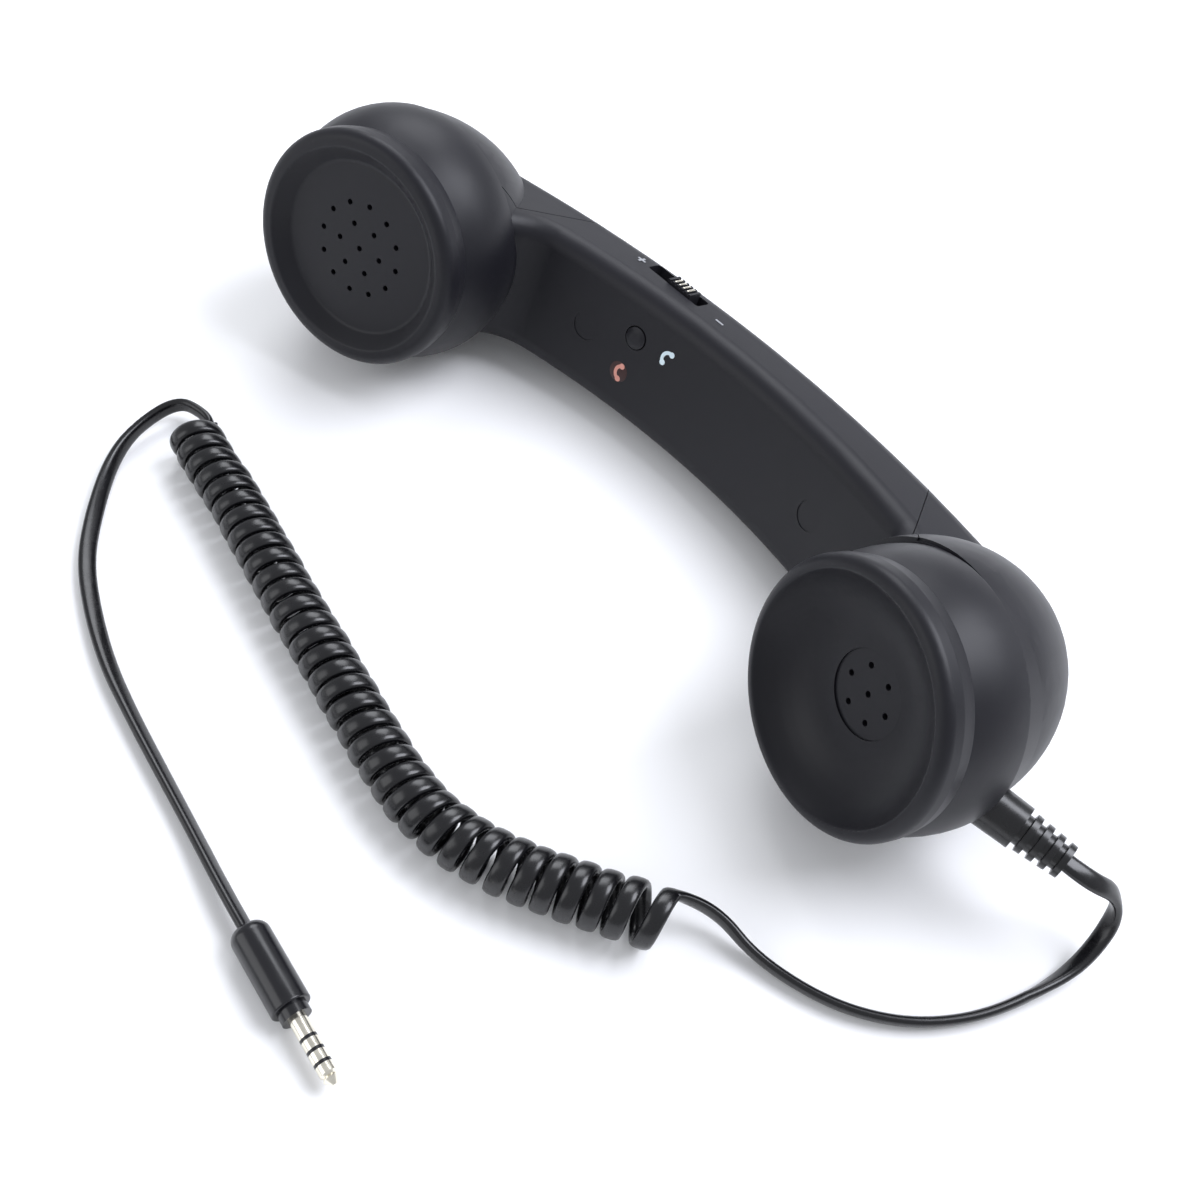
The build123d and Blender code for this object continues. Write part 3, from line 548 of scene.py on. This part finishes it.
def cord_section(width, thickness):
    """The outline of the flat cord: a rounded strip."""
    outline = []
    for number in range(SECTION_CORNERS):
        angle = 2 * math.pi * number / SECTION_CORNERS
        across, through = math.cos(angle), math.sin(angle)
        outline.append((
            width / 2 * math.copysign(abs(across) ** 0.72, across),
            thickness / 2 * math.copysign(abs(through) ** 0.8, through),
        ))
    return outline


class HANDSET_OT_cord(Operator):
    """Lays the flat curly cord from the sleeve to the plug"""

    bl_idname = "handset.cord"
    bl_label = "Curly cord"

    def execute(self, context):
        settings = context.scene.handset_cord
        points, ways = cord_points(settings.coil_radius)
        path = spline_points(points, settings.smoothness)
        section = cord_section(settings.cord_width, settings.cord_thickness)
        mesh = bpy.data.meshes.new("curly_cord")
        shape = bmesh.new()
        rings = []
        for number, middle in enumerate(path):
            before = path[max(number - 1, 0)]
            after = path[min(number + 1, len(path) - 1)]
            along = (after - before).normalized()
            across = way_at(ways, len(points), number, len(path))
            across = (across - along * across.dot(along)).normalized()
            through = along.cross(across)
            rings.append([shape.verts.new(middle + across * x + through * y) for x, y in section])
        for a, b in zip(rings, rings[1:]):
            for i in range(SECTION_CORNERS):
                j = (i + 1) % SECTION_CORNERS
                shape.faces.new((a[i], a[j], b[j], b[i]))
        shape.faces.new(list(reversed(rings[0])))
        shape.faces.new(rings[-1])
        bmesh.ops.recalc_face_normals(shape, faces=shape.faces)
        shape.to_mesh(mesh)
        shape.free()
        cord = bpy.data.objects.new("curly_cord", mesh)
        context.scene.collection.objects.link(cord)
        pick_only(cord)
        bpy.ops.object.shade_smooth_by_angle(angle=math.radians(60))
        dress(cord, finishes["cord_black"])
        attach(cord, "handset")
        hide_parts("cord_tail_handset", "cord_coil", "cord_tail_plug")
        return {"FINISHED"}


# ---- Pieces -----------------------------------------------------------------------------------
class HANDSET_OT_finishes(Operator):
    """Makes every finish, and gives each CAD piece its own"""

    bl_idname = "handset.finishes"
    bl_label = "Finishes"

    def execute(self, context):
        finishes.update(make_finishes(context.scene.handset_finish))
        for name, node in frame["nodes"].items():
            finish = finishes[slot_of(name)]
            if node.material_slots:
                for place in node.material_slots:
                    place.material = finish
            else:
                node.data.materials.append(finish)
        return {"FINISHED"}


class HANDSET_OT_shells(Operator):
    """Smooths the two shells and the caps on the cups"""

    bl_idname = "handset.shells"
    bl_label = "Shells and caps"

    def execute(self, context):
        for node in ("front_shell", "back_shell", "ear_cap", "mouth_cap"):
            copy_node(node, f"{node}_finished", angle=32.0)
        return {"FINISHED"}


class HANDSET_OT_controls(Operator):
    """Smooths the call button, the volume knob, the inlays and the screw covers"""

    bl_idname = "handset.controls"
    bl_label = "Controls and covers"

    def execute(self, context):
        names = ("call_button", "volume_knob", "answer_icon", "hang_up_icon")
        for node in names + SCREW_COVERS:
            copy_node(node, f"{node}_finished")
        for node in ("plus_mark", "minus_mark"):
            dress(copy_node(node, f"{node}_finished"), finishes["faded_print"])
        return {"FINISHED"}


def add_finished(name, finish, body, edge):
    """Rounds the active new piece's edges, settles its place into its mesh and hangs it on a body."""
    piece = bpy.context.object
    piece.name = name
    piece.data.name = name
    bpy.ops.object.transform_apply(location=True, rotation=True, scale=True)
    rounding = piece.modifiers.new("Rounded edges", "BEVEL")
    rounding.width = edge
    rounding.segments = 2
    rounding.limit_method = "ANGLE"
    bpy.ops.object.modifier_apply(modifier=rounding.name)
    bpy.ops.object.shade_smooth_by_angle(angle=math.radians(30))
    dress(piece, finish)
    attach(piece, body)
    return piece


def way_out():
    """The way that the handle's inner face looks where the button is."""
    press = next(joint for joint in frame["joints"] if joint["name"] == "button_press")
    return -Vector(press["axis"]).normalized()


class HANDSET_OT_marks(Operator):
    """Adds the dark round patch under the red receiver mark, and silver bars on the volume knob's ridges that are
    painted highlights for the glints the ridges catch
    """

    bl_idname = "handset.marks"
    bl_label = "Patch and painted glints"

    def execute(self, context):
        out = way_out()
        icon = frame["nodes"]["hang_up_icon"].data
        faces = [face for face in icon.polygons if face.normal.dot(out) > 0.95]
        facing = sum((face.normal * face.area for face in faces), Vector()).normalized()
        low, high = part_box("hang_up_icon")
        middle = (low + high) / 2
        top = max(vertex.co.dot(facing) for vertex in icon.vertices)
        middle += facing * (top - PATCH_BELOW_ICON - middle.dot(facing))
        bpy.ops.object.select_all(action="DESELECT")
        bpy.ops.mesh.primitive_cylinder_add(
            vertices=64,
            radius=PATCH_RADIUS,
            depth=PATCH_DEPTH,
            location=middle,
            rotation=facing.to_track_quat("Z", "Y").to_euler(),
        )
        add_finished("hang_up_patch", finishes["dark_red_patch"], "handset", 0.00003)

        knob = frame["nodes"]["volume_knob"].data
        slide = next(joint for joint in frame["joints"] if joint["name"] == "volume_slide")
        along = Vector(slide["axis"]).normalized()
        proud = along.cross(out).normalized()
        if proud.z < 0:
            proud.negate()
        reach = [vertex.co.dot(proud) for vertex in knob.vertices]
        low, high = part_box("volume_knob")
        middle = (low + high) / 2
        middle += proud * (max(reach) - middle.dot(proud))
        across = proud.cross(along)
        turn = Matrix((along, across, proud)).transposed().to_euler()
        # Silver bars along the knob's ridges: painted highlights standing in for the glints that the ridges catch.
        for number, step in enumerate((-1.5, -0.5, 0.5, 1.5)):
            bpy.ops.object.select_all(action="DESELECT")
            bpy.ops.mesh.primitive_cube_add(
                size=1.0,
                location=middle + along * step * RIDGE_PITCH,
                rotation=turn,
                scale=GLINT_BAR_SIZE,
            )
            bright = finishes["silver_contact"]
            add_finished(f"knob_painted_glint_{number + 1}", bright, "slide", 0.00008)
        return {"FINISHED"}


class HANDSET_OT_sleeve(Operator):
    """Smooths the ribbed rubber sleeve where the cord leaves the mouth cup"""

    bl_idname = "handset.sleeve"
    bl_label = "Cord sleeve"

    def execute(self, context):
        copy_node("strain_relief", "strain_relief_finished", angle=40.0)
        return {"FINISHED"}


class HANDSET_OT_plug(Operator):
    """Smooths the plug's barrel, contacts and bands"""

    bl_idname = "handset.plug"
    bl_label = "Plug"

    def execute(self, context):
        for node in PLUG_BLACK + PLUG_METAL:
            copy_node(node, f"{node}_finished", angle=35.0)
        return {"FINISHED"}


class HANDSET_OT_stage(Operator):
    """Sets up the pale floor, the soft lamps and the camera"""

    bl_idname = "handset.stage"
    bl_label = "Stage"

    def execute(self, context):
        settings = context.scene.handset_stage
        bpy.ops.object.select_all(action="DESELECT")
        bpy.ops.mesh.primitive_plane_add(size=settings.floor_size, location=(0, 0, 0))
        floor = context.object
        floor.name = "floor"
        paper, shader = new_finish("pale_floor")
        clouds = add_noise(paper, 3.0)
        vary_colour(paper, clouds, (0.93, 0.93, 0.93, 1), (0.95, 0.95, 0.95, 1), shader.inputs["Base Color"])
        set_sockets(shader, Roughness=0.9, Specular_IOR_Level=0.1)
        dress(floor, paper)

        for name, place, size, share, colour in LAMPS:
            lamp = bpy.data.lights.new(name, "AREA")
            lamp.size = size
            lamp.energy = settings.key_power * share
            lamp.color = colour
            holder = bpy.data.objects.new(name, lamp)
            context.scene.collection.objects.link(holder)
            holder.location = place
            facing = Vector(LAMP_TARGET) - Vector(place)
            holder.rotation_euler = facing.to_track_quat("-Z", "Y").to_euler()

        world = bpy.data.worlds.new("soft_room")
        world.use_nodes = True
        room = world.node_tree.nodes["Background"]
        room.inputs["Color"].default_value = (0.93, 0.95, 1.0, 1)
        room.inputs["Strength"].default_value = 0.6
        context.scene.world = world
        context.scene.view_settings.view_transform = "Standard"

        lens = bpy.data.cameras.new("camera")
        lens.lens = LENS
        lens.sensor_width = SENSOR
        camera = bpy.data.objects.new("camera", lens)
        context.scene.collection.objects.link(camera)
        turn = Matrix((CAMERA_RIGHT, CAMERA_UP, CAMERA_BACK)).transposed().to_4x4()
        camera.matrix_world = Matrix.Translation(CAMERA_PLACE) @ turn
        context.scene.camera = camera
        return {"FINISHED"}


class HANDSET_PT_pieces(Panel):
    """Lists the handset's pieces and their settings"""

    bl_label = "Handset"
    bl_idname = "HANDSET_PT_pieces"
    bl_space_type = "VIEW_3D"
    bl_region_type = "UI"
    bl_category = "Handset"

    def draw(self, context):
        for attribute, group in SETTINGS:
            box = self.layout.box()
            settings = getattr(context.scene, attribute)
            for name in group.__annotations__:
                box.prop(settings, name)
        for operator in OPERATORS:
            self.layout.operator(operator.bl_idname)


OPERATORS = (
    HANDSET_OT_finishes,
    HANDSET_OT_plug,
    HANDSET_OT_cord,
    HANDSET_OT_shells,
    HANDSET_OT_controls,
    HANDSET_OT_marks,
    HANDSET_OT_sleeve,
    HANDSET_OT_stage,
)


def register():
    for _, group in SETTINGS:
        bpy.utils.register_class(group)
    for attribute, group in SETTINGS:
        setattr(bpy.types.Scene, attribute, PointerProperty(type=group))
    for operator in OPERATORS:
        bpy.utils.register_class(operator)
    bpy.utils.register_class(HANDSET_PT_pieces)


def unregister():
    bpy.utils.unregister_class(HANDSET_PT_pieces)
    for operator in reversed(OPERATORS):
        bpy.utils.unregister_class(operator)
    for attribute, group in reversed(SETTINGS):
        delattr(bpy.types.Scene, attribute)
        bpy.utils.unregister_class(group)


def main():
    """Builds the whole handset and its stage."""
    register()
    for operator in OPERATORS:
        group, name = operator.bl_idname.split(".")
        getattr(getattr(bpy.ops, group), name)()


if __name__ == "__main__":
    main()
